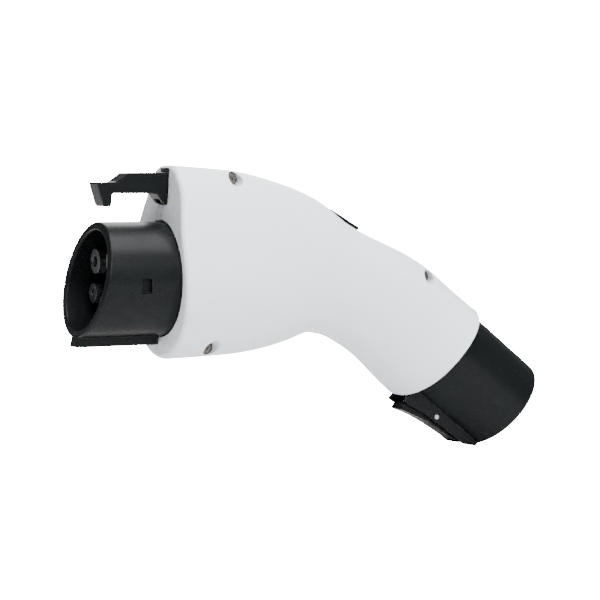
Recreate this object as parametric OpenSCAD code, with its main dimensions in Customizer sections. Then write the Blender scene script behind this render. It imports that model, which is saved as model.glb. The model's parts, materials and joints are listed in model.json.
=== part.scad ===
// Hand-held vehicle charging coupler: a two-half pistol shell with a five-contact plug nose, a
// latch worked by a thumb button, and a round five-pin inlet with a lock lever at its tail.
// X runs rearward along the nose axis, Z is up, and Y = 0 is the plane where the halves meet.
// The origin is on the nose axis, in the middle of the slanted mouth.

/* [Nose] */
// Outer radius of the nose
nose_r = 21.9; // [21.6:0.1:22.2]
// Wall of the nose around its cavity
nose_wall = 3.2; // [3:0.1:4]
// Distance from the origin to the front face of the shell
nose_len = 31; // [28:1:36]
// Slant of the mouth
mouth_slant = 12; // [4:1:16]
// Width of the key rail under the nose
key_w = 7; // [5:1:9]
// Drop of the key rail below the nose
key_drop = 3.2; // [2:0.2:4]
// Length of a snap pocket in the side of the nose
snap_len = 4.2; // [3:0.2:5]
// Height of a snap pocket
snap_h = 5.4; // [4:0.2:6]
// Depth of a snap pocket
snap_depth = 2.2; // [1.6:0.1:2.4]

/* [Contacts] */
// Radius of a line or neutral pin
power_pin_r = 1.8; // [1.6:0.1:2]
// Radius of the ground pin
ground_pin_r = 1.4; // [1.2:0.1:1.6]
// Radius of a signal pin
signal_pin_r = 0.75; // [0.65:0.05:0.9]
// Wall of a contact sleeve
sleeve_wall = 1.1; // [0.8:0.1:1.2]
// Wall of a tower around its contact
tower_wall = 1.9; // [1.5:0.1:2.1]

/* [Shell] */
// Wall of the shell
shell_wall = 2.4; // [2:0.1:2.8]
// Radius of a screw shank
screw_r = 1.5; // [1.2:0.1:1.6]
// Radius of a screw head
screw_head_r = 2.7; // [2.4:0.1:2.9]
// Radius of a screw boss
boss_r = 4.2; // [3.8:0.1:4.4]

/* [Latch] */
// Width of the latch arm
latch_w = 8.3; // [7:0.1:9]
// Radius of the latch pin
latch_pin_r = 1.5; // [1.2:0.1:1.8]
// Angle that the latch lifts through
latch_lift = 4.5; // [3:0.1:4.5]
// Width of the thumb button
button_w = 9; // [8:0.5:10]

/* [Inlet] */
// Outer radius of the tail collar
collar_r = 21.2; // [20.8:0.1:21.4]
// Wall of the collar around its bore
collar_wall = 3.5; // [3:0.1:3.7]
// Length of the collar from the middle of the rim
collar_len = 41.6; // [40:0.2:48]
// Slope of the collar below the nose axis
tail_slope = 38.4; // [37:0.1:40]
// Width of the lock lever
lever_w = 9; // [7:0.5:10]
// Radius of the lever pin
lever_pin_r = 1; // [0.8:0.1:1.1]

/* [Hidden] */
$fn = 64;

// Clearances: moving faces, a pin in its hole, and pieces that sit in a pocket
run_gap = 0.4;
pin_gap = 0.06;
seat_gap = 0.2;
rest_gap = 0.3;
over = 1;
// How far bosses stop short of the mid-plane, and how far they stay under the outer face
split_gap = 0.05;
skin_sink = 0.9;

// Profile of the shell from front to rim: top x and z, bottom x and z, half width,
// narrowing of the upper half, squareness of the crown. Every x is from the front face.
PROFILE = [
    [0, 43.4, 0, -31, 29, 0.5, 4],
    [16, 42.5, 16, -30.6, 28.8, 0.49, 4],
    [30, 41.2, 30, -29.9, 28.2, 0.46, 3.8],
    [44, 38, 41.5, -28.2, 26.8, 0.39, 3.4],
    [57, 33.8, 51, -25.8, 25.2, 0.3, 3],
    [67, 28.9, 59.5, -23, 23.6, 0.22, 2.7],
    [77, 21.6, 67, -23.4, 22.4, 0.14, 2.5],
    [87, 16.4, 72.6, -25, 21.6, 0.08, 2.4],
    [97, 12.2, 78, -28.8, 21.2, 0.04, 2.3],
    [106.5, 8, 85, -32.4, 20.9, 0.02, 2.2],
    [116, 2.7, 91, -37.6, 21, 0, 2.2],
    [125, -4, 96.5, -42.8, 21.6, 0, 2.2],
    [133.5, -10.6, 100.5, -46.4, 22.8, 0, 2.2],
    [139.2, -15.4, 103.2, -48.6, 23.9, 0, 2.2]];
front_x = nose_len;
STATIONS = [for (s = PROFILE) s + [front_x, 0, front_x, 0, 0, 0, 0]];
STEPS = 2;
ARC = 17;
belly = 2.2;
narrow_from = -0.6;
narrow_power = 1.4;
rim_lip = 4.6;

// Screws of the shell: x, z and the depth of the head below the mid-plane
SCREWS = [[front_x + 14.5, -26.2, 7], [front_x + 26, 38, 5], [front_x + 111.5, -1.5, 6.5]];
screw_len = 9;
head_h = 2.2;

// Nose inside: slab ends along X, and radii from the outer face and from the cavity
bore_r = nose_r - nose_wall;
carrier_x = [front_x - 9, front_x - 3];
web_t = 3;
web_r = bore_r - 4.5;
flange_r = nose_r + 1.4;
flange_t = 3.2;
seal_t = 0.8;
rear_bore_r = nose_r - 2.9;
snap_x = 13.7;
snap_low = -4.2;
tower_x = 7;
socket_x = 9;
crimp_x = front_x + 5;
carrier_screw_y = bore_r - 2.5;
small_screw_r = 1.2;
small_head_r = 1.9;
small_head_h = 1.6;

// Contacts: name order is line, neutral, ground, pilot, proximity; each is y, z and pin radius
CONTACTS = [[-7.85, 6.8, power_pin_r], [7.85, 6.8, power_pin_r], [0, -10.6, ground_pin_r],
    [-10.65, -5.6, signal_pin_r], [10.65, -5.6, signal_pin_r]];
PIN_END = [30, 30, 31, 28, 28];

// Latch: pivot, slot and the pads that it works
pivot_x = front_x + 17;
pivot_z = 33;
latch_boss_r = 4.6;
hook_front = 3;
arm_top = 40.6;
arm_under = 32.6;
tail_w = 6;
switch_x = front_x + 35;
switch_pad_z = 23.5;
spring_x = front_x + 53;
spring_pad_z = 18;
shelf_z = 8;
shelf_t = 2;
shelf_reach = 21.6;
switch_z = 14;
SWITCH_POSTS = [switch_x - 4, switch_x + 4];
post_r = 1.1;
board_x = front_x + 22;
BOARD_POSTS = [board_x + 5, board_x + 25];
RESISTORS = [board_x + 11, board_x + 17];
board_len = 30;
board_h = 11;
board_y = 13.4;
board_t = 1.6;
board_z = -9.5;
plunger_r = 1.2;

// Thumb button: centre on the crown of the grip, its slope and depths below its face
button_x = front_x + 78;
button_z = 22.2;
button_slope = 30.2;
button_len = 16;
button_proud = 0.5;
button_flange = 1.2;
button_stem = 8.6;

// Tail: centre of the rim plane on the collar axis, tilt of the rim against the collar
tail_x = front_x + 120.4;
tail_z = -30.1;
rim_tilt = 9.9;
rim_back = 2.3;
floor_z = 9;
spigot_r = collar_r - 4;
spigot_len = 17;
seat_z = -9;
seat_len = 7;
groove_z = -14;
groove_len = 3;
groove_r = spigot_r - 1.5;
seal_groove_z = -6.3;
seal_groove_len = 1.7;
seal_groove_r = spigot_r - 1.2;
seal_r = 0.65;
spigot_hole_r = spigot_r - 3;
inlet_disc_t = 5;
inlet_screw_y = spigot_r - 1.5;
mouth_len = 8;
mouth_extra = 0.3;
collar_bore_r = collar_r - collar_wall;
lever_pin_x = 23.1;
lever_pin_z = 17.5;
cheek_t = 2.2;
cheek_top = 25.2;
end_round = 2.6;

function narrowing(s, v) = v < narrow_from ? 1
    : 1 - s[5] * pow((v - narrow_from) / (1 - narrow_from), narrow_power);
function roundness(v, n) = pow(max(0, 1 - pow(abs(v), n)), 1 / n);
function half_height(s) = norm([s[0] - s[2], s[1] - s[3]]) / 2;

// Point of a section at angle t, 0 at the bottom and 180 at the top, inset from the outer face
function section_point(s, t, inset, side) =
    let(
        h = half_height(s),
        v = -cos(t),
        reach = (h - inset) / (2 * h) * v,
        y = (s[4] - inset) * narrowing(s, v) * roundness(v, v > 0 ? s[6] : belly)
    )
    [(s[0] + s[2]) / 2 + (s[0] - s[2]) * reach, side * y, (s[1] + s[3]) / 2 + (s[1] - s[3]) * reach];

// Smooth curve through the stations
function blend(a, b, c, d, u) =
    (2 * b + (c - a) * u + (2 * a - 5 * b + 4 * c - d) * u * u
        + (3 * b - a - 3 * c + d) * u * u * u) / 2;
last = len(STATIONS) - 1;
function station(i) = STATIONS[max(0, min(last, i))];
function station_at(i, u) = u == 0 ? station(i)
    : blend(i == 0 ? 2 * station(0) - station(1) : station(i - 1), station(i), station(i + 1),
        i + 2 > last ? 2 * station(last) - station(last - 1) : station(i + 2), u);
RINGS = [for (i = [0:last - 1], k = [0:STEPS - 1]) station_at(i, k / STEPS), station(last)];
// Closed skin from rings of equal length
module skin(rings) {
    n = len(rings[0]);
    m = len(rings);
    polyhedron(
        points = [for (ring = rings) each ring],
        faces = [
            [for (j = [0:n - 1]) j],
            for (i = [0:m - 2], j = [0:n - 1])
                [i * n + j, (i + 1) * n + j, (i + 1) * n + (j + 1) % n, i * n + (j + 1) % n],
            [for (j = [n - 1:-1:0]) (m - 1) * n + j]],
        convexity = 8);
}

// Solid space inside the outer face, on one side of the mid-plane
module half_body(side, inset) {
    order = side < 0 ? [ARC:-1:0] : [0:1:ARC];
    skin([for (r = RINGS) [for (j = order) section_point(r, 180 * j / ARC, inset, side)]]);
}

// Whole loop of a section, with no corner on the mid-plane
function loop(s, inset) = [
    for (j = [0:ARC - 1]) section_point(s, 180 * (j + 0.5) / ARC, inset, 1),
    for (j = [ARC - 1:-1:0]) section_point(s, 180 * (j + 0.5) / ARC, inset, -1)];

// Hollow of the shell, open through the rim, where the wall thickens into a lip
module cavity() {
    rim = RINGS[len(RINGS) - 1];
    h = 2 * half_height(rim);
    out = [rim[1] - rim[3], rim[2] - rim[0]] / h;
    skin([
        loop(RINGS[0] + [shell_wall, 0, shell_wall, 0, 0, 0, 0], shell_wall),
        for (i = [1:len(RINGS) - 2]) loop(RINGS[i], shell_wall),
        loop(rim, rim_lip),
        loop(rim + [out[0], out[1], out[0], out[1], 0, 0, 0], rim_lip)]);
}

module along_x(x0, x1, r) {
    translate([x0, 0, 0]) rotate([0, 90, 0]) cylinder(r = r, h = x1 - x0);
}

// Cylinder along Y between two y values
module along_y(x, z, y0, y1, r) {
    translate([x, y1, z]) rotate([90, 0, 0]) cylinder(r = r, h = y1 - y0);
}

// Outline in X and Z, extruded along Y about the mid-plane
module slab(points, width) {
    translate([0, width / 2, 0]) rotate([90, 0, 0]) linear_extrude(width) polygon(points);
}

module in_tail() {
    translate([tail_x, 0, tail_z]) rotate([0, 90 + tail_slope, 0]) children();
}

module in_button() {
    translate([button_x, 0, button_z]) rotate([0, button_slope, 0]) children();
}

function swing(a) = [cos(a), sin(a)];

/* Shell */

// Part of a piece on one side of the mid-plane, kept short of it
module one_side(side) {
    intersection() {
        children();
        translate([0, side < 0 ? -60 - split_gap : split_gap, -100]) cube([250, 60, 200]);
    }
}

// Bosses and seats inside a shell half, before they are trimmed to the skin
module shell_inside(side) {
    reach = 30;
    y0 = side < 0 ? -reach : split_gap;
    for (s = SCREWS) along_y(s[0], s[1], y0, y0 + reach - split_gap, boss_r);
    from = latch_w / 2 + run_gap;
    y1 = side < 0 ? -reach : from;
    along_y(pivot_x, pivot_z, y1, y1 + reach - from, boss_r - 0.2);
    one_side(side) in_tail() translate([0, 0, seat_z]) ring_wall(seat_len, spigot_r + rest_gap);
    one_side(side) in_tail() translate([0, 0, groove_z + rest_gap])
        ring_wall(groove_len - 2 * rest_gap, groove_r + rest_gap);
}

module ring_wall(length, r) {
    difference() {
        cylinder(r = 26, h = length);
        translate([0, 0, -over]) cylinder(r = r, h = length + 2 * over);
    }
}

// Openings of both halves: nose hole, latch slot, button slot, latch pin seat
module shell_openings() {
    along_x(front_x - over, front_x + shell_wall + over, nose_r + rest_gap);
    slot_w = latch_w + 2 * run_gap;
    slot_top = arm_top + (pivot_x - front_x) * sin(latch_lift) + rest_gap;
    translate([front_x - over, -slot_w / 2, 28.2])
        cube([shell_wall + 2 * over, slot_w, slot_top - 28.2]);
    along_y(pivot_x, pivot_z, -pin_seat, pin_seat, latch_pin_r + pin_gap);
    in_button() translate([-button_len / 2 - run_gap, -button_w / 2 - run_gap, -8])
        cube([button_len + 2 * run_gap, button_w + 2 * run_gap, 16]);
}
pin_seat = latch_w / 2 + 4;

module left_shell() {
    $fn = 32;
    color("whitesmoke") difference() {
        union() {
            difference() {
                half_body(-1, 0);
                cavity();
            }
            intersection() {
                shell_inside(-1);
                half_body(-1, skin_sink);
            }
        }
        shell_openings();
        for (s = SCREWS) {
            along_y(s[0], s[1], -40, over, screw_r + seat_gap);
            along_y(s[0], s[1], -40, -s[2], screw_head_r + seat_gap);
        }
    }
}

module right_shell() {
    $fn = 32;
    color("whitesmoke") difference() {
        union() {
            difference() {
                half_body(1, 0);
                cavity();
            }
            intersection() {
                union() {
                    shell_inside(1);
                    for (x = SWITCH_POSTS) along_y(x, switch_z, 3.2, 30, 2.4);
                    for (x = BOARD_POSTS) along_y(x, board_z, board_y + board_t, 30, 3);
                    for (x = BOARD_POSTS) along_y(x, board_z, board_y - 0.8, 20, post_r);
                }
                half_body(1, skin_sink);
            }
            for (x = SWITCH_POSTS) along_y(x, switch_z, -2.8, 5, post_r);
            translate([spring_x - 5, -4, shelf_z - shelf_t]) cube([10, shelf_reach + 4, shelf_t]);
        }
        shell_openings();
        for (s = SCREWS) along_y(s[0], s[1], -over, screw_len, screw_r + pin_gap);
    }
}

module shell_screws() {
    color("gray") for (s = SCREWS) {
        along_y(s[0], s[1], -s[2], screw_len - 0.6, screw_r);
        difference() {
            along_y(s[0], s[1], -s[2] - head_h, -s[2], screw_head_r);
            translate([s[0], -s[2] - head_h + 0.6, s[1]]) rotate([90, 0, 0])
                cylinder(r = 1.3, h = 2, $fn = 6);
        }
    }
}

/* Nose */

// Space behind the slanted mouth
module behind_mouth() {
    rotate([0, mouth_slant, 0]) translate([0, -50, -60]) cube([120, 100, 120]);
}

module nose_housing() {
    flange_x = front_x + shell_wall + seal_t;
    end_x = flange_x + flange_t;
    color("dimgray") difference() {
        intersection() {
            union() {
                along_x(-8, end_x, nose_r);
                along_x(flange_x, end_x, flange_r);
                translate([-8, -key_w / 2, -nose_r - key_drop])
                    cube([front_x - rest_gap + 8, key_w, key_drop + 3]);
            }
            behind_mouth();
        }
        along_x(-12, carrier_x[1], bore_r);
        along_x(carrier_x[0], end_x + over, web_r);
        along_x(carrier_x[1] + web_t, end_x + over, rear_bore_r);
        for (side = [0, 1]) mirror([0, side, 0])
            translate([snap_x, nose_r - snap_depth, snap_low]) cube([snap_len, 10, snap_h]);
        for (side = [-1, 1]) translate([0, side * carrier_screw_y, 0])
            along_x(carrier_x[0], end_x, small_screw_r + seat_gap);
    }
}

module nose_seal() {
    color("black") translate([front_x + shell_wall, 0, 0]) rotate([0, 90, 0]) difference() {
        cylinder(r = flange_r, h = seal_t);
        translate([0, 0, -over]) cylinder(r = nose_r + 0.05, h = seal_t + 2 * over);
    }
}

module at_contact(i) {
    translate([0, CONTACTS[i][0], CONTACTS[i][1]]) children();
}
function sleeve_r(i) = CONTACTS[i][2] + sleeve_wall;

module nose_carrier() {
    color("darkslategray") difference() {
        union() {
            along_x(carrier_x[0], carrier_x[1], bore_r - seat_gap);
            for (i = [0:4]) at_contact(i) along_x(tower_x, carrier_x[1], sleeve_r(i) + tower_wall);
        }
        for (i = [0:4]) at_contact(i) {
            along_x(tower_x - over, carrier_x[1] + over, CONTACTS[i][2] + 0.4);
            along_x(socket_x, carrier_x[1] + over, sleeve_r(i) + pin_gap);
        }
        for (side = [-1, 1]) translate([0, side * carrier_screw_y, 0])
            along_x(carrier_x[0] + 1.5, carrier_x[1] + over, small_screw_r + pin_gap);
    }
}

module carrier_screws() {
    head_x = carrier_x[1] + web_t;
    color("silver") for (side = [-1, 1]) translate([0, side * carrier_screw_y, 0]) {
        along_x(carrier_x[0] + 1.7, head_x, small_screw_r);
        along_x(head_x, head_x + small_head_h, small_head_r);
    }
}

// Turned sleeve with a bore for the pin at the front and a crimp barrel at the back
module contact_socket(i) {
    pin_r = CONTACTS[i][2];
    color("goldenrod") at_contact(i) difference() {
        along_x(socket_x, crimp_x, sleeve_r(i));
        along_x(socket_x - over, 27, pin_r + pin_gap);
        for (a = [0, 90]) rotate([a, 0, 0])
            translate([socket_x - over, -0.2, -10]) cube([8, 0.4, 20]);
    }
}
module line_socket() { contact_socket(0); }
module neutral_socket() { contact_socket(1); }
module ground_socket() { contact_socket(2); }
module pilot_socket() { contact_socket(3); }
module proximity_socket() { contact_socket(4); }

/* Latch and button */

module latch_arm() {
    // Place on the button's contact pad: s along the button, d below its stem
    b = [sin(button_slope), cos(button_slope)];
    t = [b[1], -b[0]];
    stem_end = [button_x, button_z] - (button_stem + rest_gap) * b;
    function pad(s, d) = stem_end + s * t - d * b;
    color("dimgray") difference() {
        union() {
            slab([[hook_front, 36.8], [5.8, 27.7], [9, 27.7], [9.4, arm_under], [27.4, arm_under],
                [30.4, 28.7], [pivot_x - 7, 28.7], [pivot_x, pivot_z - 3], [pivot_x, pivot_z + 4],
                [pivot_x - 6, 37.6], [front_x + 1.6, 38], [front_x + 1.4, arm_top],
                [15.5, 40.4], [10.6, 36.9]], latch_w);
            along_y(pivot_x, pivot_z, -latch_w / 2, latch_w / 2, latch_boss_r);
            slab([[pivot_x, pivot_z + latch_boss_r], [pivot_x + 2.5, pivot_z + 3.6],
                [pivot_x + 4.2, pivot_z], [pivot_x + 5.6, pivot_z - 1.8],
                [pivot_x + 12, pivot_z - 2.8], pad(-6, 0), pad(5, 0), pad(5, 3.6), pad(-4, 4.4),
                [spring_x + 4, spring_pad_z], [spring_x - 4, spring_pad_z],
                [spring_x - 6, 20.2], [switch_x + 4, 24], [switch_x + 3.5, switch_pad_z],
                [switch_x - 3.5, switch_pad_z], [switch_x - 4, 25.4], [pivot_x + 2, 26.2],
                [pivot_x - 3, 28.7]], tail_w);
        }
        along_y(pivot_x, pivot_z, -latch_w, latch_w, latch_pin_r + pin_gap);
    }
}

module latch_pin() {
    color("silver") along_y(pivot_x, pivot_z, -pin_seat + seat_gap, pin_seat - seat_gap, latch_pin_r);
}

// Open coil of round wire about Z, one ring of points for each step
module coil(x, z0, z1, r, wire, turns) {
    per_turn = 14;
    steps = turns * per_turn;
    rise = z1 - z0 - 2 * wire;
    skin([for (i = [0:steps])
        let(
            a = 360 * i / per_turn,
            z = z0 + wire + rise * i / steps
        )
        [for (j = [5:-1:0]) let(p = wire * swing(60 * j))
            [x + (r + p[0]) * cos(a), (r + p[0]) * sin(a), z + p[1]]]]);
}

module latch_spring() {
    color("silver") coil(spring_x, shelf_z + 0.05, spring_pad_z - 0.2, 2.6, 0.4, 5);
}

module thumb_button() {
    lip = 1;
    edge = 1.6;
    color("dimgray") in_button() {
        hull() for (x = [-1, 1], y = [-1, 1])
            translate([x * (button_len / 2 - edge), y * (button_w / 2 - edge), -button_stem + 3])
                cylinder(r = edge, h = button_stem - 3 + button_proud, $fn = 32);
        translate([-button_len / 2 - lip, -button_w / 2 + 0.5, -button_stem + 2.2])
            cube([button_len + 2 * lip, button_w - 1, button_flange]);
        translate([-3, -2.5, -button_stem]) cube([6, 5, button_stem - 1]);
    }
}

module switch_body() {
    color("black") difference() {
        translate([switch_x - 6, -3.1, 10]) cube([12, 6.2, 10]);
        translate([switch_x, 0, 14.8]) cylinder(r = plunger_r + pin_gap, h = 10);
        for (x = SWITCH_POSTS) along_y(x, switch_z, -5, 5, post_r + 0.1);
    }
}

module switch_plunger() {
    color("firebrick") translate([switch_x, 0, 16.6])
        cylinder(r = plunger_r, h = switch_pad_z - rest_gap - 16.6);
}

module resistor_board() {
    color("darkgreen") difference() {
        translate([board_x, board_y, board_z - board_h / 2]) cube([board_len, board_t, board_h]);
        for (x = BOARD_POSTS) along_y(x, board_z, 10, 20, post_r + 0.1);
    }
    color("tan") for (x = RESISTORS) along_y(x, board_z + 3, board_y - 1.4, board_y, 1.2);
}

/* Wires */

function tail_point(v) = [
    tail_x - sin(tail_slope) * v[0] + cos(tail_slope) * v[2],
    v[1],
    tail_z - cos(tail_slope) * v[0] - sin(tail_slope) * v[2]];
function curve(a, b, c, d, u) =
    pow(1 - u, 3) * a + 3 * u * pow(1 - u, 2) * b + 3 * u * u * (1 - u) * c + pow(u, 3) * d;

// Smooth lead from a socket to its inlet pin, swept in rings that stay square to its path
module wire(i, r) {
    parts = 20;
    start = [crimp_x, CONTACTS[i][0], CONTACTS[i][1]];
    finish = tail_point([-CONTACTS[i][1], CONTACTS[i][0], pin_tail_z]);
    b = start + [34, 0, i < 2 ? -9 : 0];
    c = finish - 42 * [cos(tail_slope), 0, -sin(tail_slope)];
    function at(u) = curve(start, b, c, finish, u);
    function way(u) = u <= 0 ? [1, 0, 0] : u >= 1 ? [cos(tail_slope), 0, -sin(tail_slope)]
        : at(u + 0.01) - at(u - 0.01);
    skin([for (k = [0:parts])
        let(
            u = k / parts,
            w = way(u) / norm(way(u)),
            side = cross([0, 0, 1], w) / norm(cross([0, 0, 1], w)),
            up = cross(w, side)
        )
        [for (j = [0:7]) at(u) + r * (cos(45 * j) * side - sin(45 * j) * up)]]);
}
pin_tail_z = 4;

module line_wire() { color("saddlebrown") wire(0, 1.7); }
module neutral_wire() { color("royalblue") wire(1, 1.7); }
module ground_wire() { color("green") wire(2, 1.5); }
module pilot_wire() { color("orange") wire(3, 0.9); }
module proximity_wire() { color("purple") wire(4, 0.9); }

/* Inlet */

// Space beyond the plane of the shell's rim
module beyond_rim() {
    translate([0, 0, rim_back]) rotate([0, rim_tilt, 0]) translate([-60, -60, 0])
        cube([120, 120, 80]);
}

// Barrel of the collar with its outer end rounded
module collar_barrel() {
    rotate_extrude() polygon([
        [0, -8], [collar_r, -8], [collar_r, collar_len - end_round],
        for (a = [15:15:90]) [collar_r - end_round, collar_len - end_round] + end_round * swing(a),
        [0, collar_len]]);
}

module inlet_collar() {
    mouth_r = collar_bore_r + mouth_extra;
    cheek_in = lever_w / 2 + run_gap;
    color("dimgray") in_tail() difference() {
        union() {
            intersection() {
                union() {
                    collar_barrel();
                    for (side = [-1, 1]) translate([0, side * (cheek_in + cheek_t / 2), 0])
                        rotate([90, 0, 0]) translate([0, 0, -cheek_t / 2]) linear_extrude(cheek_t)
                            polygon([[15, -4], [23.6, 1], [cheek_top, 12], [cheek_top - 0.8, 24],
                                [cheek_top - 2.2, collar_len - 6], [20, collar_len - 0.5],
                                [15, collar_len - 0.5]]);
                }
                beyond_rim();
            }
            translate([0, 0, -spigot_len]) cylinder(r = spigot_r, h = spigot_len + floor_z);
        }
        translate([0, 0, floor_z]) cylinder(r = collar_bore_r, h = collar_len);
        translate([0, 0, collar_len - mouth_len]) cylinder(r = mouth_r, h = mouth_len + over);
        translate([0, 0, -spigot_len - over]) cylinder(r = spigot_hole_r, h = 60);
        translate([15, -3.4, 27.2]) cube([10, 6.8, 5.6]);
        translate([lever_pin_x, 10, lever_pin_z]) rotate([90, 0, 0])
            cylinder(r = lever_pin_r + pin_gap, h = 20);
        for (side = [-1, 1]) translate([0, side * inlet_screw_y, floor_z - 8])
            cylinder(r = small_screw_r + pin_gap, h = 10);
        translate([0, 0, groove_z]) ring_wall(groove_len, groove_r);
        translate([0, 0, seal_groove_z]) ring_wall(seal_groove_len, seal_groove_r);
    }
}

module inlet_carrier() {
    color("darkslategray") in_tail() difference() {
        union() {
            translate([0, 0, floor_z]) cylinder(r = collar_bore_r - seat_gap, h = inlet_disc_t);
            for (i = [0:4]) translate([-CONTACTS[i][1], CONTACTS[i][0], floor_z])
                cylinder(r = CONTACTS[i][2] + 1.8, h = inlet_disc_t + 2);
        }
        for (i = [0:4]) translate([-CONTACTS[i][1], CONTACTS[i][0], 0])
            cylinder(r = CONTACTS[i][2] + pin_gap, h = 30);
        for (side = [-1, 1]) translate([0, side * inlet_screw_y, 0])
            cylinder(r = small_screw_r + seat_gap, h = 30);
    }
}

module inlet_screws() {
    head_z = floor_z + inlet_disc_t;
    color("silver") in_tail() for (side = [-1, 1]) translate([0, side * inlet_screw_y, 0]) {
        translate([0, 0, floor_z - 7.5]) cylinder(r = small_screw_r, h = head_z - floor_z + 7.5);
        translate([0, 0, head_z]) cylinder(r = small_head_r, h = small_head_h);
    }
}

module inlet_pin(i) {
    r = CONTACTS[i][2];
    tip = r / 2;
    color("goldenrod") in_tail() translate([-CONTACTS[i][1], CONTACTS[i][0], 0]) {
        translate([0, 0, pin_tail_z]) cylinder(r = r, h = PIN_END[i] - pin_tail_z - tip);
        translate([0, 0, PIN_END[i] - tip]) cylinder(r1 = r, r2 = r - tip, h = tip);
    }
}
module inlet_line_pin() { inlet_pin(0); }
module inlet_neutral_pin() { inlet_pin(1); }
module inlet_ground_pin() { inlet_pin(2); }
module inlet_pilot_pin() { inlet_pin(3); }
module inlet_proximity_pin() { inlet_pin(4); }

module inlet_seal() {
    color("black") in_tail() translate([0, 0, seal_groove_z + seal_groove_len / 2])
        rotate_extrude() translate([seal_groove_r + seal_r + 0.1, 0]) circle(r = seal_r, $fn = 24);
}

module lock_lever() {
    color("dimgray") in_tail() difference() {
        translate([0, lever_w / 2, 0]) rotate([90, 0, 0]) linear_extrude(lever_w)
            polygon([[29.8, 3.2], [29.3, 5], [28.3, 8.5], [27.3, 12.4], [26.4, 17.5], [25.6, 24],
                [24.6, 33], [21.6, 33.4], [21.6, 13.5], [23.4, 10], [25, 6], [26.4, 3.2]]);
        translate([lever_pin_x, 10, lever_pin_z]) rotate([90, 0, 0])
            cylinder(r = lever_pin_r + pin_gap, h = 20);
    }
    color("dimgray") in_tail() translate([16.2, -2.8, 28]) cube([6, 5.6, 3.6]);
}

module lever_pin() {
    half = lever_w / 2 + run_gap + cheek_t;
    color("silver") in_tail() translate([lever_pin_x, half, lever_pin_z]) rotate([90, 0, 0])
        cylinder(r = lever_pin_r, h = 2 * half);
}

module lever_spring() {
    color("silver") in_tail() translate([0, 0, 6]) rotate([0, 90, 0])
        coil(0, collar_r + 0.1, 24.4, 1.7, 0.35, 3);
}

left_shell();
right_shell();
shell_screws();
nose_housing();
nose_seal();
nose_carrier();
carrier_screws();
line_socket();
neutral_socket();
ground_socket();
pilot_socket();
proximity_socket();
latch_arm();
latch_pin();
latch_spring();
thumb_button();
switch_body();
switch_plunger();
resistor_board();
line_wire();
neutral_wire();
ground_wire();
pilot_wire();
proximity_wire();
inlet_collar();
inlet_carrier();
inlet_screws();
inlet_line_pin();
inlet_neutral_pin();
inlet_ground_pin();
inlet_pilot_pin();
inlet_proximity_pin();
inlet_seal();
lock_lever();
lever_pin();
lever_spring();
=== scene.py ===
# A hand-held vehicle charging coupler. Its frame runs rearward along X from the mouth of the nose,
# with Z up, and the two shell halves meet on Y = 0. The frame is in metres, and each section below
# works in millimetres and brings its mesh to metres at the end.
import json
import math

import bmesh
import bpy
from mathutils import Matrix, Vector


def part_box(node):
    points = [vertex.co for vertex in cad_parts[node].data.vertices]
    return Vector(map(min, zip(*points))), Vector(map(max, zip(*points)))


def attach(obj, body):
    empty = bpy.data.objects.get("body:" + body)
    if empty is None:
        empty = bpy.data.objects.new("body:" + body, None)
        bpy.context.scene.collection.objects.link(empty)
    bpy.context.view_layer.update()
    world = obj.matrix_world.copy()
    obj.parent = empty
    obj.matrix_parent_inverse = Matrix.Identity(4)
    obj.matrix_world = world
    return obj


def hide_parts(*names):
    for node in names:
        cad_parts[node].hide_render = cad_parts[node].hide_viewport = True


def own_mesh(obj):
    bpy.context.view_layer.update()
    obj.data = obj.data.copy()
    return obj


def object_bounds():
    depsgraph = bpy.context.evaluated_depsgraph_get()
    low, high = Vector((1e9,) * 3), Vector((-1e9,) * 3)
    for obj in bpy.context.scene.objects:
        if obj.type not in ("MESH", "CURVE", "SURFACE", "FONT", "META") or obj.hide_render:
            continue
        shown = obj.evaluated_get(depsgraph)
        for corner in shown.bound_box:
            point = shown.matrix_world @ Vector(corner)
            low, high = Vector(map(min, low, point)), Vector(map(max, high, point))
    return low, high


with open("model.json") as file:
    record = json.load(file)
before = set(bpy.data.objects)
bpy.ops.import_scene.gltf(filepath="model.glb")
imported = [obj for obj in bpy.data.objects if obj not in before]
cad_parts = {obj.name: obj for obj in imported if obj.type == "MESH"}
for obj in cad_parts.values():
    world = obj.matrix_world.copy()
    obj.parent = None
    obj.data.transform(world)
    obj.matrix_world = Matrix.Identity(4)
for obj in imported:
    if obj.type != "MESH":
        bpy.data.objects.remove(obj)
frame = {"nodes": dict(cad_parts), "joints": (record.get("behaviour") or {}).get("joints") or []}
cad_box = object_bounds()
nodes = frame["nodes"]

# The camera stands at the nose end of the near side, a little above the nose axis, with a long lens.
camera = bpy.data.objects.new("camera", bpy.data.cameras.new("camera"))
camera.data.lens = 120
camera.data.sensor_width = 36
camera.location = (-0.2779, -0.7028, 0.0355)
aim = Vector((0.0874, -0.0071, -0.0094))
camera.rotation_euler = (aim - camera.location).to_track_quat("-Z", "Y").to_euler()
bpy.context.scene.collection.objects.link(camera)
bpy.context.scene.camera = camera

# The studio is a wide pale floor just under the lowest point, an even white surround, a big soft box
# overhead, one on the near side and a weak one behind. Only the camera sees the floor and the
# surround glow, which makes them white without lighting the coupler.
FLOOR_RADIUS = 30
FLOOR_DROP = 0.0005
FLOOR_GLOW = 40.0
ROOM_LIGHT = 0.2
ROOM_GLOW = 42.0
floor_mesh = bmesh.new()
bmesh.ops.create_circle(floor_mesh, cap_ends=True, segments=64, radius=FLOOR_RADIUS)
bmesh.ops.translate(floor_mesh, verts=floor_mesh.verts, vec=(0, 0, cad_box[0].z - FLOOR_DROP))
floor = bpy.data.objects.new("floor", bpy.data.meshes.new("floor"))
floor_mesh.to_mesh(floor.data)
floor_mesh.free()
bpy.context.scene.collection.objects.link(floor)

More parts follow.
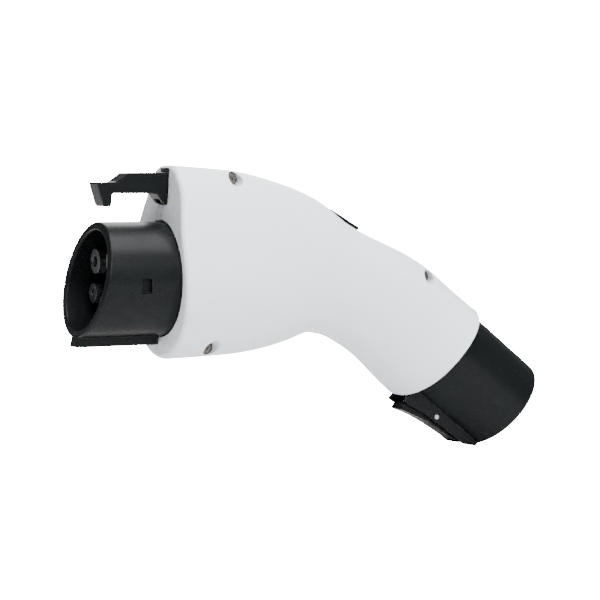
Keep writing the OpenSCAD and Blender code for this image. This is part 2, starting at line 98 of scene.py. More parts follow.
floor_paint = bpy.data.materials.new("floor_white")
floor_paint.use_nodes = True
tree = floor_paint.node_tree
matt = tree.nodes["Principled BSDF"]
matt.inputs["Base Color"].default_value = (0.82, 0.82, 0.82, 1)
matt.inputs["Roughness"].default_value = 0.9
seen = tree.nodes.new("ShaderNodeLightPath")
glow = tree.nodes.new("ShaderNodeEmission")
glow.inputs["Strength"].default_value = FLOOR_GLOW
both = tree.nodes.new("ShaderNodeAddShader")
pick = tree.nodes.new("ShaderNodeMixShader")
tree.links.new(matt.outputs[0], both.inputs[0])
tree.links.new(glow.outputs[0], both.inputs[1])
tree.links.new(seen.outputs["Is Camera Ray"], pick.inputs[0])
tree.links.new(matt.outputs[0], pick.inputs[1])
tree.links.new(both.outputs[0], pick.inputs[2])
tree.links.new(pick.outputs[0], tree.nodes["Material Output"].inputs["Surface"])
floor.data.materials.append(floor_paint)

world = bpy.data.worlds.new("white_room")
world.use_nodes = True
bpy.context.scene.world = world
room = world.node_tree.nodes["Background"]
room.inputs["Strength"].default_value = ROOM_LIGHT
beyond = world.node_tree.nodes.new("ShaderNodeBackground")
beyond.inputs["Strength"].default_value = ROOM_GLOW
choice = world.node_tree.nodes.new("ShaderNodeMixShader")
sight = world.node_tree.nodes.new("ShaderNodeLightPath")
for start, end in (
    (sight.outputs["Is Camera Ray"], choice.inputs[0]),
    (room.outputs[0], choice.inputs[1]),
    (beyond.outputs[0], choice.inputs[2]),
    (choice.outputs[0], world.node_tree.nodes["World Output"].inputs["Surface"]),
):
    world.node_tree.links.new(start, end)
for ground in (room, beyond):
    ground.inputs["Color"].default_value = (1, 1, 1, 1)


def soft_box(name, place, target, size, power):
    """A square area light at a place, facing a target."""
    lamp = bpy.data.objects.new(name, bpy.data.lights.new(name, "AREA"))
    lamp.data.size = size
    lamp.data.energy = power
    lamp.location = place
    lamp.rotation_euler = (Vector(target) - Vector(place)).to_track_quat("-Z", "Y").to_euler()
    bpy.context.scene.collection.objects.link(lamp)


MIDDLE = (0.09, 0, 0)
soft_box("overhead_box", (0.15, -0.25, 1.1), MIDDLE, 0.9, 34)
soft_box("side_box", (0.02, -1.3, 0.8), MIDDLE, 0.8, 30)
soft_box("rear_box", (0.6, 0.9, 0.7), MIDDLE, 0.8, 10)


# Shell halves: injection-moulded in white satin plastic, 2.4 mm thick, and screwed together on the
# mid-plane. Each half wraps its share of the front wall and nose hole, the slot of the latch, the
# opening of the thumb button and the grip, and ends in a lip around the tail collar.
class Value:
    """A number that varies over a surface. Arithmetic on it adds Math nodes to its finish."""

    def __init__(self, finish, socket):
        self.finish = finish
        self.socket = socket

    def math(self, operation, *numbers):
        return self.finish.node("Math", {"operation": operation}, dict(enumerate(numbers)))

    def __add__(self, other):
        return self.math("ADD", self, other)

    def __sub__(self, other):
        return self.math("SUBTRACT", self, other)

    def __rsub__(self, other):
        return self.math("SUBTRACT", other, self)

    def __mul__(self, other):
        return self.math("MULTIPLY", self, other)

    __radd__ = __add__
    __rmul__ = __mul__

    def between(self, low, high):
        """0 where the number is under low, 1 where it is over high, and smooth in between."""
        return self.finish.node("MapRange", {"interpolation_type": "SMOOTHSTEP"},
                                {"Value": self, "From Min": low, "From Max": high})


class Finish:
    """A material in the making: a Principled surface, and nodes that read the piece's own place."""

    def __init__(self, name):
        self.material = bpy.data.materials.new(name)
        self.material.use_nodes = True
        self.tree = self.material.node_tree
        self.surface = self.tree.nodes["Principled BSDF"]
        self.place = self.node("TexCoord", output="Object")

    def node(self, kind, settings=None, inputs=None, output=0):
        made = self.tree.nodes.new("ShaderNode" + kind)
        for key, setting in (settings or {}).items():
            setattr(made, key, setting)
        for key, given in (inputs or {}).items():
            self.feed(made.inputs[key], given)
        return Value(self, made.outputs[output])

    def feed(self, socket, given):
        if isinstance(given, Value):
            self.tree.links.new(given.socket, socket)
        else:
            socket.default_value = given

    def set(self, **inputs):
        """Feeds the surface: Base_Color=..., Roughness=..., and so on."""
        for key, given in inputs.items():
            self.feed(self.surface.inputs[key.replace("_", " ")], given)

    def noise(self, size, detail=2.0, roughness=0.5, place=None):
        """Cloudy noise from 0 to 1, whose lumps are about size millimetres across."""
        return self.node("TexNoise", {}, {"Vector": place or self.place, "Scale": 1000 / size,
                                          "Detail": detail, "Roughness": roughness})

    def pits(self, size):
        """Distance from the nearest of a scatter of points about size millimetres apart."""
        return self.node("TexVoronoi", {}, {"Vector": self.place, "Scale": 1000 / size}, "Distance")

    def stretched(self, along):
        """The piece's place, squeezed on X so that a noise makes streaks along it."""
        return self.node("Mapping", {}, {"Vector": self.place, "Scale": (along, 1, 1)})

    def tint(self, amount, low, high):
        """A colour between two, by an amount from 0 to 1."""
        low, high = (c if isinstance(c, Value) else (*c, 1) for c in (low, high))
        return self.node("Mix", {"data_type": "RGBA"}, {"Factor": amount, 6: low, 7: high}, 2)

    def relief(self, height, depth):
        """Bumps of a depth in millimetres on the surface."""
        bump = self.node("Bump", {}, {"Height": height, "Distance": depth / 1000, "Strength": 1.0})
        self.feed(self.surface.inputs["Normal"], bump)


def moulded(name, dark, light, gloss, grain, depth, shine=0.5, rub_and_sheen_amount=0.0, rub_and_sheen_colour=(0, 0, 0)):
    """Moulded plastic: a faint drift of colour, an eroded grain, handling marks, and rubbed edges tinted
    a colour that is partly wear and partly painted highlight.
    """
    finish = Finish(name)
    drift = finish.noise(38, 3)
    smears = finish.noise(9, 4, 0.6).between(0.52, 0.74)
    colour = finish.tint(drift, dark, light)
    if rub_and_sheen_amount:
        # The narrow faces of eased edges are tinted towards a second colour. This is partly wear and
        # partly a painted highlight, which lightens the edges of the black parts.
        edge = finish.node("Attribute", {"attribute_name": "rub_and_sheen"}, output="Fac")
        edge = edge * finish.noise(2.2, 3).between(0.4, 0.62) * rub_and_sheen_amount
        colour = finish.tint(edge, colour, rub_and_sheen_colour)
    finish.set(Base_Color=colour, Roughness=gloss + 0.07 * smears + 0.05 * finish.noise(1.3),
               Specular_IOR_Level=shine)
    finish.relief(finish.pits(grain) * 0.6 + 0.4 * finish.noise(grain * 2.5, 3), depth)
    return finish.material


shell_white = moulded("shell_white", (0.735, 0.765, 0.81), (0.78, 0.805, 0.845), gloss=0.36,
                      grain=0.42, depth=0.010, shine=0.4, rub_and_sheen_amount=0.3, rub_and_sheen_colour=(0.70, 0.70, 0.69))
MM = 0.001
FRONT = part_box("left_shell")[0].x / MM
WALL = 2.4
NOSE_HOLE = 22.2
# From front to rim: top x and z, bottom x and z, half width, narrowing of the upper half and
# squareness of the crown. Every x is from the front face.
PROFILE = (
    (0, 43.4, 0, -31, 29, 0.5, 4),
    (16, 42.5, 16, -30.6, 28.8, 0.49, 4),
    (30, 41.2, 30, -29.9, 28.2, 0.46, 3.8),
    (44, 38, 41.5, -28.2, 26.8, 0.39, 3.4),
    (57, 33.8, 51, -25.8, 25.2, 0.3, 3),
    (67, 28.9, 59.5, -23, 23.6, 0.22, 2.7),
    (77, 21.6, 67, -23.4, 22.4, 0.14, 2.5),
    (87, 16.4, 72.6, -25, 21.6, 0.08, 2.4),
    (97, 12.2, 78.6, -28.1, 21.2, 0.04, 2.3),
    (106.5, 8, 85.2, -32.4, 20.9, 0.02, 2.2),
    (116, 2.4, 91.3, -37.6, 21, 0, 2.2),
    (124.5, -4.4, 97.2, -43.2, 21.6, 0, 2.2),
    (132.8, -10.9, 102.2, -47.6, 22.8, 0, 2.2),
    (138.6, -15.3, 105.5, -50.3, 23.9, 0, 2.2),
)
BELLY = 2.2
SLIM_FROM = -0.6
SLIM_POWER = 1.4
ARC = 64
STEPS = 5
ROUND_STEPS = 6
FRONT_ROUND = 2.2
HOLE_ROUND = 0.5
RIM_ROUND = 1.3
RIM_LIP = 4.6
PARTING = 0.16
PART_GAP = 0.03
stations = [[x0 + FRONT, z0, x1 + FRONT, z1, *rest] for x0, z0, x1, z1, *rest in PROFILE]


def mirrored_end(end, inner):
    """The row that would follow the end of the profile, as far beyond it as its neighbour is within."""
    return [2 * a - b for a, b in zip(end, inner)]


def station_at(place):
    """The profile at a place along it: a smooth curve through its rows."""
    i = min(int(place), len(stations) - 2)
    u = place - i
    b, c = stations[i], stations[i + 1]
    a = stations[i - 1] if i else mirrored_end(b, c)
    d = stations[i + 2] if i + 2 < len(stations) else mirrored_end(c, b)
    return [(2 * q + (r - p) * u + (2 * p - 5 * q + 4 * r - s) * u * u
             + (3 * q - p - 3 * r + s) * u ** 3) / 2 for p, q, r, s in zip(a, b, c, d)]


def outline(station, turn, inset):
    """A point of the near half's section, from the bottom (turn 0) to the crown (turn 1)."""
    top_x, top_z, low_x, low_z, half, narrow, crown = station
    height = math.hypot(top_x - low_x, top_z - low_z) / 2
    level = -math.cos(math.pi * turn)
    reach = (height - inset) / (2 * height) * level
    slim = 1 - narrow * (max(0, level - SLIM_FROM) / (1 - SLIM_FROM)) ** SLIM_POWER
    power = crown if level > 0 else BELLY
    side = (half - inset) * slim * max(0, 1 - abs(level) ** power) ** (1 / power)
    return Vector(((top_x + low_x) / 2 + (top_x - low_x) * reach, -side,
                   (top_z + low_z) / 2 + (top_z - low_z) * reach))


def arc_of(station, inset, shift=Vector(), seam=PART_GAP):
    """Half a section, kept a seam's width from the mid-plane."""
    points = [outline(station, k / ARC, inset) + shift for k in range(ARC + 1)]
    for point in points:
        point.y = min(point.y, -seam)
    return points


def outer_arc(station, inset, shift=Vector()):
    """The outer face of a half section, with its two edges eased where the halves meet."""
    points = arc_of(station, inset, shift, PARTING)
    low, high = (outline(station, turn, inset + PARTING) + shift for turn in (0, 1))
    low.y = high.y = -PART_GAP
    return [low, *points, high]


def hole_arc(x, radius):
    """Half of the round hole for the nose."""
    turns = [math.pi * k / ARC for k in range(ARC + 1)]
    return [Vector((x, min(-radius * math.sin(t), -PART_GAP), -radius * math.cos(t))) for t in turns]


def shell_rings():
    """Closed rings around the wall of the near half, from its front face to its rim."""
    rings = []
    length = stations[1][0] - stations[0][0]
    for k in range(ROUND_STEPS + 1):
        a = math.pi / 2 * k / ROUND_STEPS
        deep, back = 1 - math.sin(a), 1 - math.cos(a)
        outer = outer_arc(stations[0], FRONT_ROUND * deep, Vector((FRONT_ROUND * back, 0, 0)))
        inner = hole_arc(FRONT + HOLE_ROUND * back, NOSE_HOLE + HOLE_ROUND * deep)
        rings.append((outer, inner))
    wall_back = station_at(WALL / length)
    rings.append((outer_arc(wall_back, 0), hole_arc(FRONT + WALL, NOSE_HOLE)))
    rings.append((outer_arc(station_at((WALL + 0.05) / length), 0), arc_of(wall_back, WALL)))
    spans = len(stations) - 1
    for k in range(2, spans * STEPS):
        station = station_at(k / STEPS)
        rings.append((outer_arc(station, 0), arc_of(station, WALL)))
    rim = stations[-1]
    height = math.hypot(rim[0] - rim[2], rim[1] - rim[3])
    out = Vector(((rim[1] - rim[3]) / height, 0, (rim[2] - rim[0]) / height))
    for k in range(ROUND_STEPS + 1):
        a = math.pi / 2 * k / ROUND_STEPS
        shift = -RIM_ROUND * (1 - math.sin(a)) * out
        rings.append((outer_arc(rim, RIM_ROUND * (1 - math.cos(a)), shift), arc_of(rim, RIM_LIP, shift)))
    return [outer + inner[::-1] for outer, inner in rings]


def skin(rings):
    """A closed skin through rings of as many points: a grid laid on them, welded and capped."""
    bm = bmesh.new()
    across = len(rings[0])
    bmesh.ops.create_grid(bm, x_segments=across, y_segments=len(rings) - 1, size=1)
    places = [point for ring in rings for point in (*ring, ring[0])]
    for vertex, place in zip(bm.verts, places):
        vertex.co = place
    bmesh.ops.remove_doubles(bm, verts=bm.verts, dist=1e-4)
    bmesh.ops.holes_fill(bm, edges=[e for e in bm.edges if e.is_boundary])
    bmesh.ops.recalc_face_normals(bm, faces=bm.faces)
    return bm


def rod(start, end, radius):
    """A round bar between two points."""
    bm = bmesh.new()
    way = Vector(end) - Vector(start)
    turn = way.to_track_quat("Z", "Y").to_matrix().to_4x4()
    place = Matrix.Translation((Vector(start) + Vector(end)) / 2) @ turn
    bmesh.ops.create_cone(bm, cap_ends=True, segments=48, radius1=radius, radius2=radius,
                          depth=way.length, matrix=place)
    return bm


def block(low, high, corner=0.0, along="z", place=None):
    """A box between two corners, with the four edges along one axis rounded, put in place."""
    bm = bmesh.new()
    middle = (Vector(low) + Vector(high)) / 2
    size = Vector(high) - Vector(low)
    bmesh.ops.create_cube(bm, size=1, matrix=Matrix.Translation(middle) @ Matrix.Diagonal((*size, 1)))
    if corner:
        axis = "xyz".index(along)
        edges = [e for e in bm.edges if abs(e.verts[0].co[axis] - e.verts[1].co[axis]) > 1e-6]
        bmesh.ops.bevel(bm, geom=edges, affect="EDGES", offset=corner, segments=5, profile=0.5,
                        material=-1)
    if place:
        bmesh.ops.transform(bm, matrix=place, verts=bm.verts)
    return bm


def as_object(name, bm):
    """A new object that holds a bmesh, which is freed."""
    made = bpy.data.objects.new(name, bpy.data.meshes.new(name))
    bm.to_mesh(made.data)
    bm.free()
    bpy.context.scene.collection.objects.link(made)
    return made


def settle(obj):
    """Works out an object's modifiers and keeps the result as its mesh."""
    graph = bpy.context.evaluated_depsgraph_get()
    result = bpy.data.meshes.new_from_object(obj.evaluated_get(graph))
    obj.modifiers.clear()
    obj.data = result


def carve(obj, operation, tools):
    """Cuts tools out of an object, or joins or keeps what they share, one after another."""
    for tool in tools:
        cutter = as_object("cutter", tool)
        change = obj.modifiers.new("carve", "BOOLEAN")
        change.operation = operation
        change.solver = "EXACT"
        change.object = cutter
        settle(obj)
        bpy.data.objects.remove(cutter)
    return obj


def mark_rub_and_sheen(obj, width):
    """Marks the narrow faces of eased edges, which hands and sockets rub and which get a painted
    highlight.
    """
    bm = bmesh.new()
    bm.from_mesh(obj.data)
    layer = bm.faces.layers.float.new("rub_and_sheen")
    for face in bm.faces:
        face[layer] = float(2 * face.calc_area() < width * face.calc_perimeter())
    bm.to_mesh(obj.data)
    bm.free()


def piece(obj, name, body, paint, stands_for, rounding, limit=40):
    """Finishes a piece: metres, eased edges, smooth faces, its paint, its body and what it replaces."""
    obj.name = name
    obj.data.name = name
    obj.data.transform(Matrix.Scale(MM, 4))
    if rounding:
        ease = obj.modifiers.new("eased_edges", "BEVEL")
        ease.width = rounding * MM
        ease.segments = 3
        ease.limit_method = "ANGLE"
        ease.angle_limit = math.radians(limit)
        ease.use_clamp_overlap = False
        ease.miter_outer = "MITER_ARC"
        settle(obj)
        mark_rub_and_sheen(obj, 0.6 * rounding * MM)
    obj.data.shade_smooth()
    obj.modifiers.new("face_weighted", "WEIGHTED_NORMAL")
    obj.data.materials.clear()
    obj.data.materials.append(paint)
    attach(obj, body)
    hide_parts(*stands_for)
    return obj


def finish_cad(name, paint):
    """Gives a CAD node that shows as it is its paint."""
    mesh = nodes[name].data
    if not mesh.materials:
        mesh.materials.append(paint)
    for holder in nodes[name].material_slots:
        holder.material = paint


# Screws: x, z and the depth of the head below the mid-plane.
SCREWS = ((FRONT + 14.5, -26.2, 7), (FRONT + 26, 38, 5), (FRONT + 111.5, -1.5, 6.5))
BOSS = 4.2
SCREW_HOLE = 1.7
SCREW_TIP = 9
HEAD_HOLE = 2.9
REACH = 40
SKIN = 0.9
hinge = Vector(next(j["pos_m"] for j in frame["joints"] if j["name"] == "latch_lift")) / MM
LATCH_PIN_HOLE = 1.56
LATCH_PIN_END = 8.2
LATCH_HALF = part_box("latch_arm")[1].y / MM
LATCH_SLOT = LATCH_HALF + 0.4
SLOT_LOW = NOSE_HOLE + 6
SLOT_TOP = 42.2
button_axis = Vector(next(j["axis"] for j in frame["joints"] if j["name"] == "button_press"))
BUTTON_SIZE = (16, 9)
BUTTON_RADIUS = 1.6
BUTTON_GAP = 0.4
slope = math.atan2(-button_axis.x, -button_axis.z)
button_place = Matrix.Translation((FRONT + 78, 0, 22.2)) @ Matrix.Rotation(slope, 4, "Y")
# The front face stands forward around the nose, leans back from LEAN_LOW to LEAN_HIGH, and is as
# it was a little way behind.
FORWARD = 1.1
LEAN = 2.6
LEAN_LOW = 15
LEAN_HIGH = 37
LEAN_DEPTH = 14


def inside_skin():
    """The space inside the near half's skin, from the mid-plane, which trims its bosses."""
    rings = []
    for k in range(2 * len(stations) - 1):
        arc = arc_of(station_at(k / 2), SKIN)
        rings.append(arc + [point * Vector((1, 0, 1)) for point in arc[::-1]])
    return skin(rings)


def shell_half(name, side):
    """A shell half, made as the near one, which is side -1, and mirrored where side is 1."""
    half = as_object(name, skin(shell_rings()))
    inside = inside_skin()
    bars = [rod((x, -PART_GAP, z), (x, -REACH, z), BOSS) for x, z, depth in SCREWS]
    bars.append(rod((hinge.x, -LATCH_SLOT, hinge.z), (hinge.x, -REACH, hinge.z), BOSS - 0.2))
    for bar in bars:
        boss = carve(as_object("boss", bar), "INTERSECT", [inside.copy()])
        solid = bmesh.new()
        solid.from_mesh(boss.data)
        bpy.data.objects.remove(boss)
        carve(half, "UNION", [solid])
    inside.free()
    length, width = BUTTON_SIZE[0] / 2 + BUTTON_GAP, BUTTON_SIZE[1] / 2 + BUTTON_GAP
    cuts = [
        block((FRONT - 2, -LATCH_SLOT, SLOT_LOW), (FRONT + WALL + 2, LATCH_SLOT, SLOT_TOP), 1.0, "x"),
        block((-length, -width, -8), (length, width, 8), BUTTON_RADIUS + BUTTON_GAP, "z", button_place),
        rod((hinge.x, 1, hinge.z), (hinge.x, -LATCH_PIN_END, hinge.z), LATCH_PIN_HOLE)]
    for x, z, depth in SCREWS:
        if side < 0:
            cuts.append(rod((x, -depth, z), (x, -REACH, z), HEAD_HOLE))
            cuts.append(rod((x, 1, z), (x, -depth - 1, z), SCREW_HOLE))
        else:
            cuts.append(rod((x, 1, z), (x, -SCREW_TIP, z), SCREW_HOLE))
    carve(half, "DIFFERENCE", cuts)
    for vertex in half.data.vertices:
        rise = min(1, max(0, (vertex.co.z - LEAN_LOW) / (LEAN_HIGH - LEAN_LOW)))
        lean = LEAN * rise * rise * (3 - 2 * rise) - FORWARD
        vertex.co.x += lean * max(0, 1 - (vertex.co.x - FRONT) / LEAN_DEPTH)
    if side > 0:
        half.data.transform(Matrix.Scale(-1, 4, Vector((0, 1, 0))))
        half.data.flip_normals()
    return piece(half, name, "handle", shell_white, [name.replace("_cover", "_shell")],
                 0.22, 52)


shell_half("left_cover", -1)
shell_half("right_cover", 1)


# Shell screws: three steel self-tapping screws, driven from the near side through its bosses into
# those of the far half. Their steel is darker than that of the pins.
def metal(name, colour, gloss, streak, depth):
    """Bare or plated metal with fine turning marks and a little tarnish."""
    finish = Finish(name)
    lines = finish.noise(0.5, 3, 0.6, finish.stretched(streak))
    stain = finish.noise(2.4, 3).between(0.45, 0.75)
    dull = tuple(c * 0.72 for c in colour)
    finish.set(Base_Color=finish.tint(stain, colour, dull), Metallic=1.0,
               Roughness=gloss + 0.12 * lines + 0.1 * stain)
    finish.relief(lines, depth)
    return finish.material


def eased(node, name, body, paint, rounding):
    """A piece in a CAD node's own shape, welded, with its flat faces made whole and its edges eased."""
    bm = bmesh.new()
    bm.from_mesh(nodes[node].data)
    bmesh.ops.scale(bm, vec=(1 / MM,) * 3, verts=bm.verts)
    bmesh.ops.remove_doubles(bm, verts=bm.verts, dist=0.002)
    bmesh.ops.dissolve_limit(bm, angle_limit=math.radians(0.5), verts=bm.verts, edges=bm.edges)
    return piece(as_object(node, bm), name, body, paint, [node], rounding, 35)


screw_steel = metal("screw_steel", (0.16, 0.15, 0.135), gloss=0.34, streak=0.15, depth=0.004)
eased("shell_screws", "cover_screws", "handle", screw_steel, 0.12)

# Nose housing: black glass-filled nylon, moulded round, with a slanted mouth, a key rail under it
# and a snap pocket in each side. Its flange sits behind the front wall of the shell, on a rubber
# seal, and a web in its rear holds the contact carrier.
# Its eased edges are tinted lighter, partly as wear and partly as a painted highlight.
black_plastic = moulded("black_plastic", (0.0035, 0.0041, 0.0046), (0.0052, 0.006, 0.0066), gloss=0.31,
                        grain=0.3, depth=0.005, shine=0.1, rub_and_sheen_amount=0.5, rub_and_sheen_colour=(0.03, 0.032, 0.034))


def turned(profile, segments):
    """A closed outline of places along Z and radii, spun about Z."""
    bm = bmesh.new()
    ring = [bm.verts.new((radius, 0, along)) for along, radius in profile]
    edges = [bm.edges.new(pair) for pair in zip(ring, ring[1:] + ring[:1])]
    bmesh.ops.spin(bm, geom=ring + edges, cent=(0, 0, 0), axis=(0, 0, 1), angle=2 * math.pi,
                   steps=segments, use_merge=True)
    bmesh.ops.recalc_face_normals(bm, faces=bm.faces)
    return bm


def quarter(along, radius, size, turn):
    """Points of a rounded outer corner, from the end face to a barrel that runs up Z for turn 1."""
    angles = [math.pi / 2 * k / 5 for k in range(6)]
    return [(along + turn * size * (1 - math.cos(a)), radius - size * (1 - math.sin(a))) for a in angles]


NOSE_R = 21.9
BORE_R = 18.7
MOUTH_BEVEL = 0.6
MOUTH_ROUND = 0.9
MOUTH_SLOPE = math.tan(math.radians(12))
FLANGE = FRONT + 3.2
FLANGE_R = NOSE_R + 1.4
FLANGE_END = FLANGE + 3.2
REAR_BORE_R = 19
WEB_HOLE = 14.2
WEB = 3
RAIL_HALF = 3.5
RAIL_LOW = -NOSE_R - 3.2
RAIL_TOP = -20.3
POCKET_X = (13.7, 17.9)
POCKET_Z = (-4.2, 1.2)
POCKET_FLOOR = 19.7
CARRIER_SCREW_Y = 16.2
sleeve = turned([(FRONT - WEB, BORE_R), (MOUTH_BEVEL + 0.1, BORE_R), (0, BORE_R + MOUTH_BEVEL),
                 *quarter(0, NOSE_R, MOUTH_ROUND, 1), (POCKET_X[0] - 1.3, NOSE_R),
                 (POCKET_X[1] + 1.3, NOSE_R), (FLANGE, NOSE_R), (FLANGE, FLANGE_R),
                 (FLANGE_END, FLANGE_R), (FLANGE_END, REAR_BORE_R), (FRONT, REAR_BORE_R),
                 (FRONT, WEB_HOLE), (FRONT - WEB, WEB_HOLE)], 96)
bmesh.ops.transform(sleeve, matrix=Matrix.Rotation(math.pi / 2, 4, "Y"), verts=sleeve.verts)
rail = block((0, -RAIL_HALF, RAIL_LOW), (FRONT - 2.6, RAIL_HALF, RAIL_TOP))
for solid in (sleeve, rail):
    for vertex in solid.verts:
        if vertex.co.x < 2:
            vertex.co.x += vertex.co.z * MOUTH_SLOPE
bmesh.ops.bevel(rail, geom=[e for e in rail.edges if min(v.co.z for v in e.verts) < -NOSE_R],
                affect="EDGES", offset=0.5, segments=3, profile=0.5, material=-1)
cuts = []
for side in (-1, 1):
    near, far = sorted((side * POCKET_FLOOR, side * (POCKET_FLOOR + 10.6)))
    cuts.append(block((POCKET_X[0], near, POCKET_Z[0]), (POCKET_X[1], far, POCKET_Z[1]), 0.4, "y"))
for y in (-CARRIER_SCREW_Y, CARRIER_SCREW_Y):
    cuts.append(rod((FRONT - 10, y, 0), (FRONT + 8, y, 0), 1.4))
sleeve = carve(as_object("sleeve", sleeve), "UNION", [rail])
carve(sleeve, "DIFFERENCE", cuts)
piece(sleeve, "nose_sleeve", "handle", black_plastic, ["nose_housing"], 0.22)

# Seals: black rubber rings, a flat one under the nose's flange and a round one in the collar's
# groove. Both show in their CAD shape.
rubber = moulded("rubber_black", (0.009, 0.009, 0.0095), (0.014, 0.014, 0.0145), gloss=0.62,
                 grain=0.25, depth=0.01)
finish_cad("nose_seal", rubber)
finish_cad("inlet_seal", rubber)

# Contact carrier: a disc with five towers, moulded in black plastic and held against the web by two
# small steel screws. Its black is painted greyer than the nose's as painted light, which lifts the
# towers out of the shade deep in the mouth.
carrier_black = moulded("carrier_black", (0.022, 0.024, 0.026), (0.031, 0.033, 0.035), gloss=0.34,
                        grain=0.25, depth=0.005, shine=0.7, rub_and_sheen_amount=0.4, rub_and_sheen_colour=(0.06, 0.06, 0.063))
eased("nose_carrier", "contact_towers", "handle", carrier_black, 0.25)
steel = metal("steel", (0.55, 0.55, 0.56), gloss=0.24, streak=0.15, depth=0.004)
eased("carrier_screws", "carrier_screw_pair", "handle", steel, 0.12)

# Contact sockets: five sleeves turned from copper alloy and silver plated. Each is slit at its
# mouth so that it grips a pin, sits in its tower, and is crimped to its lead at the rear.
contact_metal = metal("contact_metal", (0.72, 0.68, 0.60), gloss=0.2, streak=0.1, depth=0.003)
CONTACTS = ("line", "neutral", "ground", "pilot", "proximity")
for contact in CONTACTS:
    eased(contact + "_socket", contact + "_sleeve", "handle", contact_metal, 0.1)

# Latch: a black nylon arm on a steel pin, with a hook that holds the coupler in the vehicle and a
# channel moulded into its underside. A steel spring on the shell's shelf pushes its tail up.
def plate(points, low, high, corner=0.0):
    """An outline in X and Z, as thick as from low to high on Y, with its corners rounded."""
    bm = bmesh.new()
    face = bm.faces.new([bm.verts.new((x, low, z)) for x, z in points])
    grown = bmesh.ops.extrude_face_region(bm, geom=[face])["geom"]
    bmesh.ops.translate(bm, vec=(0, high - low, 0),
                        verts=[part for part in grown if isinstance(part, bmesh.types.BMVert)])
    bmesh.ops.recalc_face_normals(bm, faces=bm.faces)
    if corner:
        edges = [e for e in bm.edges if abs(e.verts[0].co.y - e.verts[1].co.y) > 1e-6]
        bmesh.ops.bevel(bm, geom=edges, affect="EDGES", offset=corner, segments=4, profile=0.5,
                        material=-1, clamp_overlap=True)
    return bm


ARM = ((3, 36.8), (5.8, 27.7), (9, 27.7), (9.4, 32.6), (27.4, 32.6), (30.4, 28.7), (41, 28.7),
       (48, 30), (48, 37), (42, 37.6), (32.8, 38), (32.6, 40.6), (15.5, 40.4), (10.6, 36.9))
ARM_TAIL = ((48, 37.6), (50.5, 36.6), (52.2, 33), (53.6, 31.2), (60, 30.2), (99.3, 17.5), (108.8, 12),
            (107, 8.9), (98.9, 12.7), (88, 18), (80, 18), (78, 20.2), (70, 24), (69.5, 23.5),
            (62.5, 23.5), (62, 25.4), (50, 26.2), (45, 28.7))
ARM_TAIL_HALF = 3
LATCH_BOSS = 4.6
CHANNEL_HALF = 2.2
CHANNEL_TOP = 30.4
arm = as_object("arm", plate(ARM, -LATCH_HALF, LATCH_HALF, 0.8))
carve(arm, "UNION", [
    rod((hinge.x, -LATCH_HALF, hinge.z), (hinge.x, LATCH_HALF, hinge.z), LATCH_BOSS),
    plate(ARM_TAIL, -ARM_TAIL_HALF, ARM_TAIL_HALF)])
carve(arm, "DIFFERENCE", [
    rod((hinge.x, -9, hinge.z), (hinge.x, 9, hinge.z), LATCH_PIN_HOLE),
    block((26, -CHANNEL_HALF, 25), (36, CHANNEL_HALF, CHANNEL_TOP))])
piece(arm, "latch_hook", "latch", black_plastic, ["latch_arm"], 0.35)
eased("latch_pin", "latch_pivot", "handle", steel, 0.15)
latch_coil = eased("latch_spring", "latch_coil", "handle", steel, 0)
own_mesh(latch_coil)

# Thumb button: black nylon, guided by its opening in the crown of the grip, with a flange that
# keeps it in. Its stem presses on the latch's tail.
eased("thumb_button", "thumb_pad", "button", black_plastic, 0.5)

# Latch switch: a bought-in switch with a small black body, held on two posts of the far half, and
# a red plunger that the latch's tail pushes down.
switch_plastic = moulded("switch_plastic", (0.03, 0.03, 0.035), (0.04, 0.04, 0.046), gloss=0.4,
                         grain=0.3, depth=0.004)
plunger_red = moulded("plunger_red", (0.42, 0.03, 0.02), (0.5, 0.04, 0.03), gloss=0.35, grain=0.3,
                      depth=0.003)
eased("switch_body", "latch_switch", "handle", switch_plastic, 0.25)
eased("switch_plunger", "switch_button", "plunger", plunger_red, 0.2)

# Resistor board: green laminate on two posts of the far half. Its two resistors tell the vehicle
# whether the latch is pressed.
board_green = moulded("board_green", (0.01, 0.10, 0.035), (0.015, 0.16, 0.05), gloss=0.28,
                      grain=0.5, depth=0.004)
eased("resistor_board", "coding_board", "handle", board_green, 0.12)

# Leads: five stranded copper wires in coloured insulation. Each runs from a socket's crimp through
# the grip to the inlet pin of the same name, and shows in its CAD shape.
WIRES = {
    "line": ("wire_brown", (0.11, 0.045, 0.02)),
    "neutral": ("wire_blue", (0.02, 0.08, 0.35)),
    "ground": ("wire_green", (0.03, 0.25, 0.05)),
    "pilot": ("wire_orange", (0.6, 0.18, 0.02)),
    "proximity": ("wire_violet", (0.2, 0.05, 0.35)),
}
for contact, (slot, colour) in WIRES.items():
    light = tuple(1.25 * c for c in colour)
    finish_cad(contact + "_wire", moulded(slot, colour, light, gloss=0.32, grain=0.6, depth=0.004))

# Tail collar: black nylon, with a spigot gripped by the shell's rim, a seal groove, two cheeks for
# the lock lever, and a bore that takes the supply connector. It is made upright on Z, with its
# underside towards X, and then turned into place.
TAIL_SLOPE = 38.4
tail = (Matrix.Translation((FRONT + 120.4, 0, -30.1))
        @ Matrix.Rotation(math.radians(90 + TAIL_SLOPE), 4, "Y"))
COLLAR_R = 21.2
COLLAR_END = 42.6
END_ROUND = 1.8
END_TILT = 0.05
RIM = 3.7
RIM_TILT = 0.094
SPIGOT_R = 17.2
SPIGOT_END = -17
SPIGOT_HOLE = 14.2
GROOVE = (-14, -11)
GROOVE_R = 15.7
SEAL_GROOVE = (-6.3, -4.6)
SEAL_GROOVE_R = 16
BORE_FLOOR = 9
INNER_BORE_R = 17.7
INLET_BORE_R = 18
INLET_BORE = COLLAR_END - 9
CHEEK = ((18.6, 2.1), (27, 1.1), (26.6, 5), (25.4, 12), (24.6, 24), (24.2, COLLAR_END - 7),
         (21.6, COLLAR_END - 2), (18.6, COLLAR_END - 2))
CHEEK_INSIDE = 4.9
CHEEK_WALL = 2.2
LEVER_PIN = (23.1, 17.5)
LEVER_PIN_HOLE = 1.06
INLET_SCREW_Y = 15.7
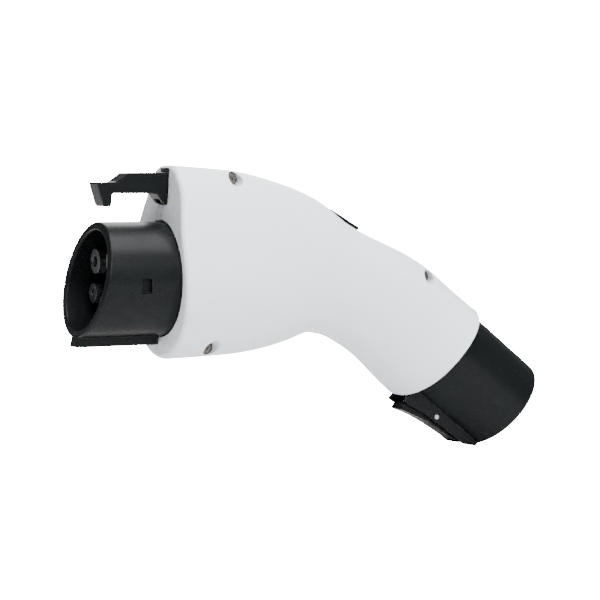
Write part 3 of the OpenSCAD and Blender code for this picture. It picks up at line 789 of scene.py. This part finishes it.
collar = turned([(SPIGOT_END, SPIGOT_HOLE), (SPIGOT_END, SPIGOT_R), (GROOVE[0], SPIGOT_R),
                 (GROOVE[0], GROOVE_R), (GROOVE[1], GROOVE_R), (GROOVE[1], SPIGOT_R),
                 (SEAL_GROOVE[0], SPIGOT_R), (SEAL_GROOVE[0], SEAL_GROOVE_R),
                 (SEAL_GROOVE[1], SEAL_GROOVE_R), (SEAL_GROOVE[1], SPIGOT_R), (RIM, SPIGOT_R),
                 (RIM, COLLAR_R), *quarter(COLLAR_END, COLLAR_R, END_ROUND, -1)[::-1],
                 (COLLAR_END, INLET_BORE_R + 0.7), (COLLAR_END - 0.7, INLET_BORE_R),
                 (INLET_BORE, INLET_BORE_R), (INLET_BORE, INNER_BORE_R), (BORE_FLOOR, INNER_BORE_R),
                 (BORE_FLOOR, SPIGOT_HOLE)], 128)
for vertex in collar.verts:
    if abs(vertex.co.z - RIM) < 0.1:
        vertex.co.z -= RIM_TILT * vertex.co.x
    elif vertex.co.z > COLLAR_END - 4:
        vertex.co.z -= END_TILT * vertex.co.x
collar = as_object("collar", collar)
carve(collar, "UNION", [
    plate(CHEEK, -CHEEK_INSIDE - CHEEK_WALL, -CHEEK_INSIDE, 0.5),
    plate(CHEEK, CHEEK_INSIDE, CHEEK_INSIDE + CHEEK_WALL, 0.5)])
lever_hole = ((LEVER_PIN[0], -10, LEVER_PIN[1]), (LEVER_PIN[0], 10, LEVER_PIN[1]), LEVER_PIN_HOLE)
carve(collar, "DIFFERENCE", [
    block((15, -3.4, 27.2), (25, 3.4, 32.8), 0.5, "x"),
    rod(*lever_hole),
    rod((0, -INLET_SCREW_Y, 1), (0, -INLET_SCREW_Y, 11), 1.26),
    rod((0, INLET_SCREW_Y, 1), (0, INLET_SCREW_Y, 11), 1.26)])
collar.data.transform(tail)
piece(collar, "tail_collar", "handle", black_plastic, ["inlet_collar"], 0.25)

# Inlet contacts: a black disc on the floor of the collar's bore, held by two small steel screws,
# with five pins turned from plated copper alloy that the leads are crimped to.
# The disc takes the carrier's paint, whose black is painted greyer than the nose's as painted light for
# the shade in the bore.
eased("inlet_carrier", "pin_disc", "handle", carrier_black, 0.25)
eased("inlet_screws", "pin_disc_screws", "handle", steel, 0.12)
for contact in CONTACTS:
    eased(f"inlet_{contact}_pin", contact + "_pin", "handle", contact_metal, 0.12)

# Lock lever: black nylon on a steel pin between the cheeks, with a tooth that drops through a
# window into the bore and locks the supply connector. A small steel spring pushes out the end
# that is pressed.
LEVER = ((29.8, 3.2), (29.3, 5), (28.3, 8.5), (27.3, 12.4), (26.4, 17.5), (25.6, 24), (24.6, 33),
         (21.6, 33.4), (21.6, 13.5), (23.4, 10), (25, 6), (26.4, 3.2))
LEVER_HALF = 4.5
lever = as_object("lever", plate(LEVER, -LEVER_HALF, LEVER_HALF, 0.6))
carve(lever, "UNION", [block((16.2, -2.8, 28), (22.2, 2.8, 31.6))])
carve(lever, "DIFFERENCE", [rod(*lever_hole)])
lever.data.transform(tail)
piece(lever, "lock_tab", "lever", black_plastic, ["lock_lever"], 0.3)
eased("lever_pin", "lock_pivot", "handle", steel, 0.15)
lever_coil = eased("lever_spring", "lever_coil", "handle", steel, 0)
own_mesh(lever_coil)
